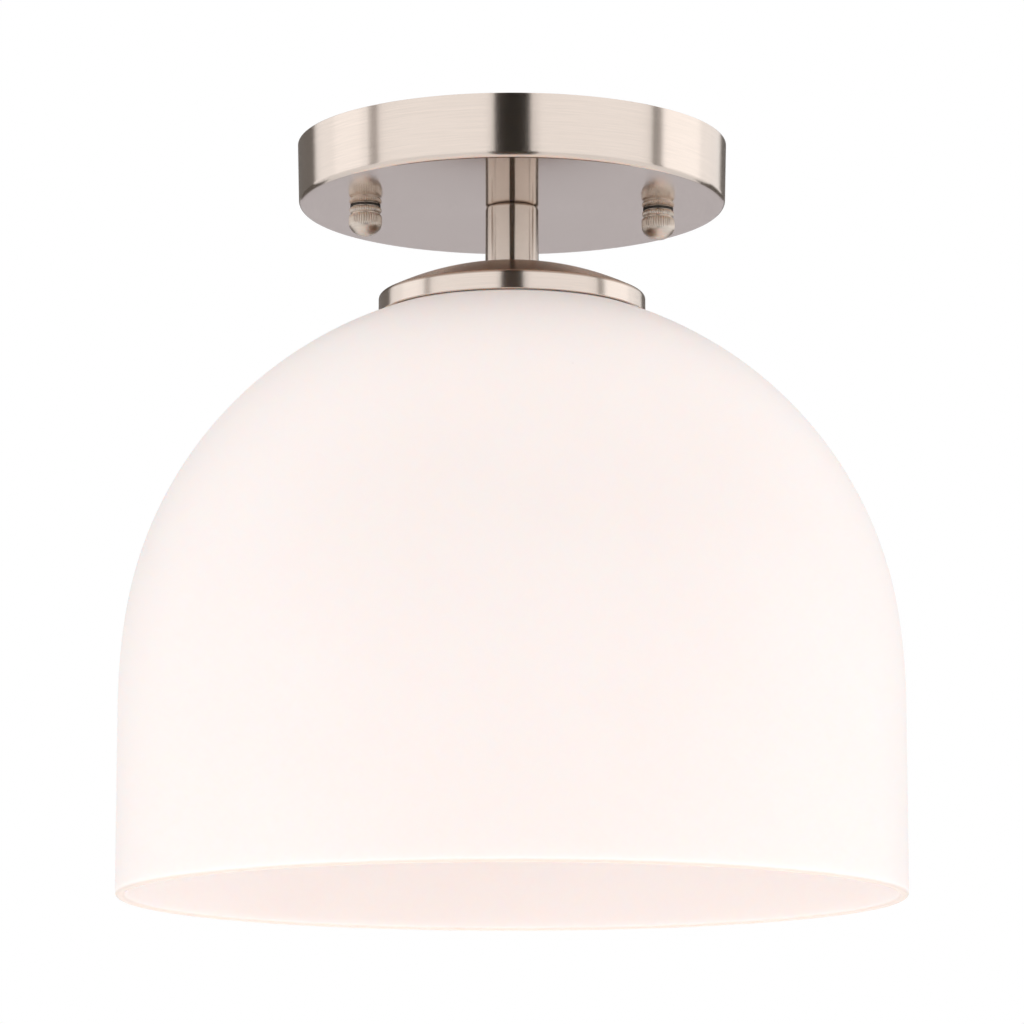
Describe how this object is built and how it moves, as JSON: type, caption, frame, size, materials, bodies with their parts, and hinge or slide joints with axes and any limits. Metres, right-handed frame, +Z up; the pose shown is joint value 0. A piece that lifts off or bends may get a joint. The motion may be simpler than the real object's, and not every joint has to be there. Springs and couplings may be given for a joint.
{
  "type": "semi-flush ceiling light",
  "caption": "Round satin nickel canopy and short stem carrying a domed holder and an opal glass bell shade, open below, with bulb and lampholder.",
  "frame": {"origin": "centre of the canopy's open rim, on the ceiling plane", "axes": "+Z up into the ceiling, +X along the line of the two cap nuts, -Y towards the viewer"},
  "size_m": [0.254, 0.254, 0.248],
  "materials": {
    "nickel": "satin brushed nickel plate on steel",
    "zinc_steel": "bright zinc plate",
    "green_screw": "green dyed zinc",
    "opal_glass": "satin etched opal glass",
    "phenolic": "moulded black phenolic",
    "brass": "bright stamped brass",
    "gasket": "grey silicone",
    "dark_fibre": "pressed fibre",
    "white_plastic": "moulded plastic",
    "bulb_glass": "frosted glass",
    "bulb_metal": "rolled aluminium",
    "black_glass": "pressed black glass",
    "solder": "dull solder"
  },
  "bodies": {
    "ceiling_bracket": {"box_strap": "zinc_steel", "swivel_eyelet": "zinc_steel"},
    "fixture": {"fixture_strap": "zinc_steel", "canopy_studs": "zinc_steel", "stud_lock_nuts": "zinc_steel", "ground_screw": "green_screw", "ground_cup_washer": "zinc_steel", "canopy": "nickel", "star_washer": "zinc_steel", "canopy_lock_nut": "zinc_steel", "nipple": "zinc_steel", "wire_bushing": "white_plastic", "stem": "nickel", "shade_holder": "nickel", "holder_lock_nut": "zinc_steel", "socket_hub": "zinc_steel", "hub_set_screw": "zinc_steel", "socket_body": "phenolic", "screw_shell": "brass", "centre_contact": "brass", "contact_rivets": "brass", "upper_gasket": "gasket"},
    "left_nut_seat": {"left_nut_washer": "dark_fibre"},
    "left_nut": {"left_cap_nut": "nickel"},
    "right_nut_seat": {"right_nut_washer": "dark_fibre"},
    "right_nut": {"right_cap_nut": "nickel"},
    "shade": {"glass_shade": "opal_glass", "lower_washer": "dark_fibre"},
    "ring": {"shade_ring": "phenolic"},
    "bulb_end": {"bulb_contact": "solder", "bulb_insulator": "black_glass"},
    "bulb": {"bulb_glass": "bulb_glass", "bulb_base": "bulb_metal"}
  },
  "joints": [
    {"name": "crossbar_swivel", "type": "hinge", "parent": "ceiling_bracket", "child": "fixture", "pos_m": [0, 0, 0], "axis": [0, 0, 1], "range_deg": [-70, 70]},
    {"name": "left_nut_travel", "type": "slide", "parent": "fixture", "child": "left_nut_seat", "axis": [0, 0, -1], "range_m": [0, 0.00556]},
    {"name": "left_nut_turn", "type": "hinge", "parent": "left_nut_seat", "child": "left_nut", "pos_m": [-0.0482, 0, -0.0262], "axis": [0, 0, -1], "range_deg": [0, 2522]},
    {"name": "right_nut_travel", "type": "slide", "parent": "fixture", "child": "right_nut_seat", "axis": [0, 0, -1], "range_m": [0, 0.00556]},
    {"name": "right_nut_turn", "type": "hinge", "parent": "right_nut_seat", "child": "right_nut", "pos_m": [0.0482, 0, -0.0262], "axis": [0, 0, -1], "range_deg": [0, 2522]},
    {"name": "shade_drop", "type": "slide", "parent": "fixture", "child": "shade", "axis": [0, 0, -1], "range_m": [0, 0.006]},
    {"name": "ring_turn", "type": "hinge", "parent": "shade", "child": "ring", "pos_m": [0, 0, -0.062], "axis": [0, 0, -1], "range_deg": [0, 1082]},
    {"name": "bulb_travel", "type": "slide", "parent": "fixture", "child": "bulb_end", "axis": [0, 0, -1], "range_m": [0, 0.01089]},
    {"name": "bulb_turn", "type": "hinge", "parent": "bulb_end", "child": "bulb", "pos_m": [0, 0, -0.08], "axis": [0, 0, -1], "range_deg": [0, 1082]}
  ],
  "couplings": [
    {"joint": "left_nut_turn", "follows": "left_nut_travel", "rad_per_m": 7915.8},
    {"joint": "right_nut_turn", "follows": "right_nut_travel", "rad_per_m": 7915.8},
    {"joint": "ring_turn", "follows": "shade_drop", "rad_per_m": 3141.6},
    {"joint": "bulb_turn", "follows": "bulb_travel", "rad_per_m": 1731.6}
  ]
}
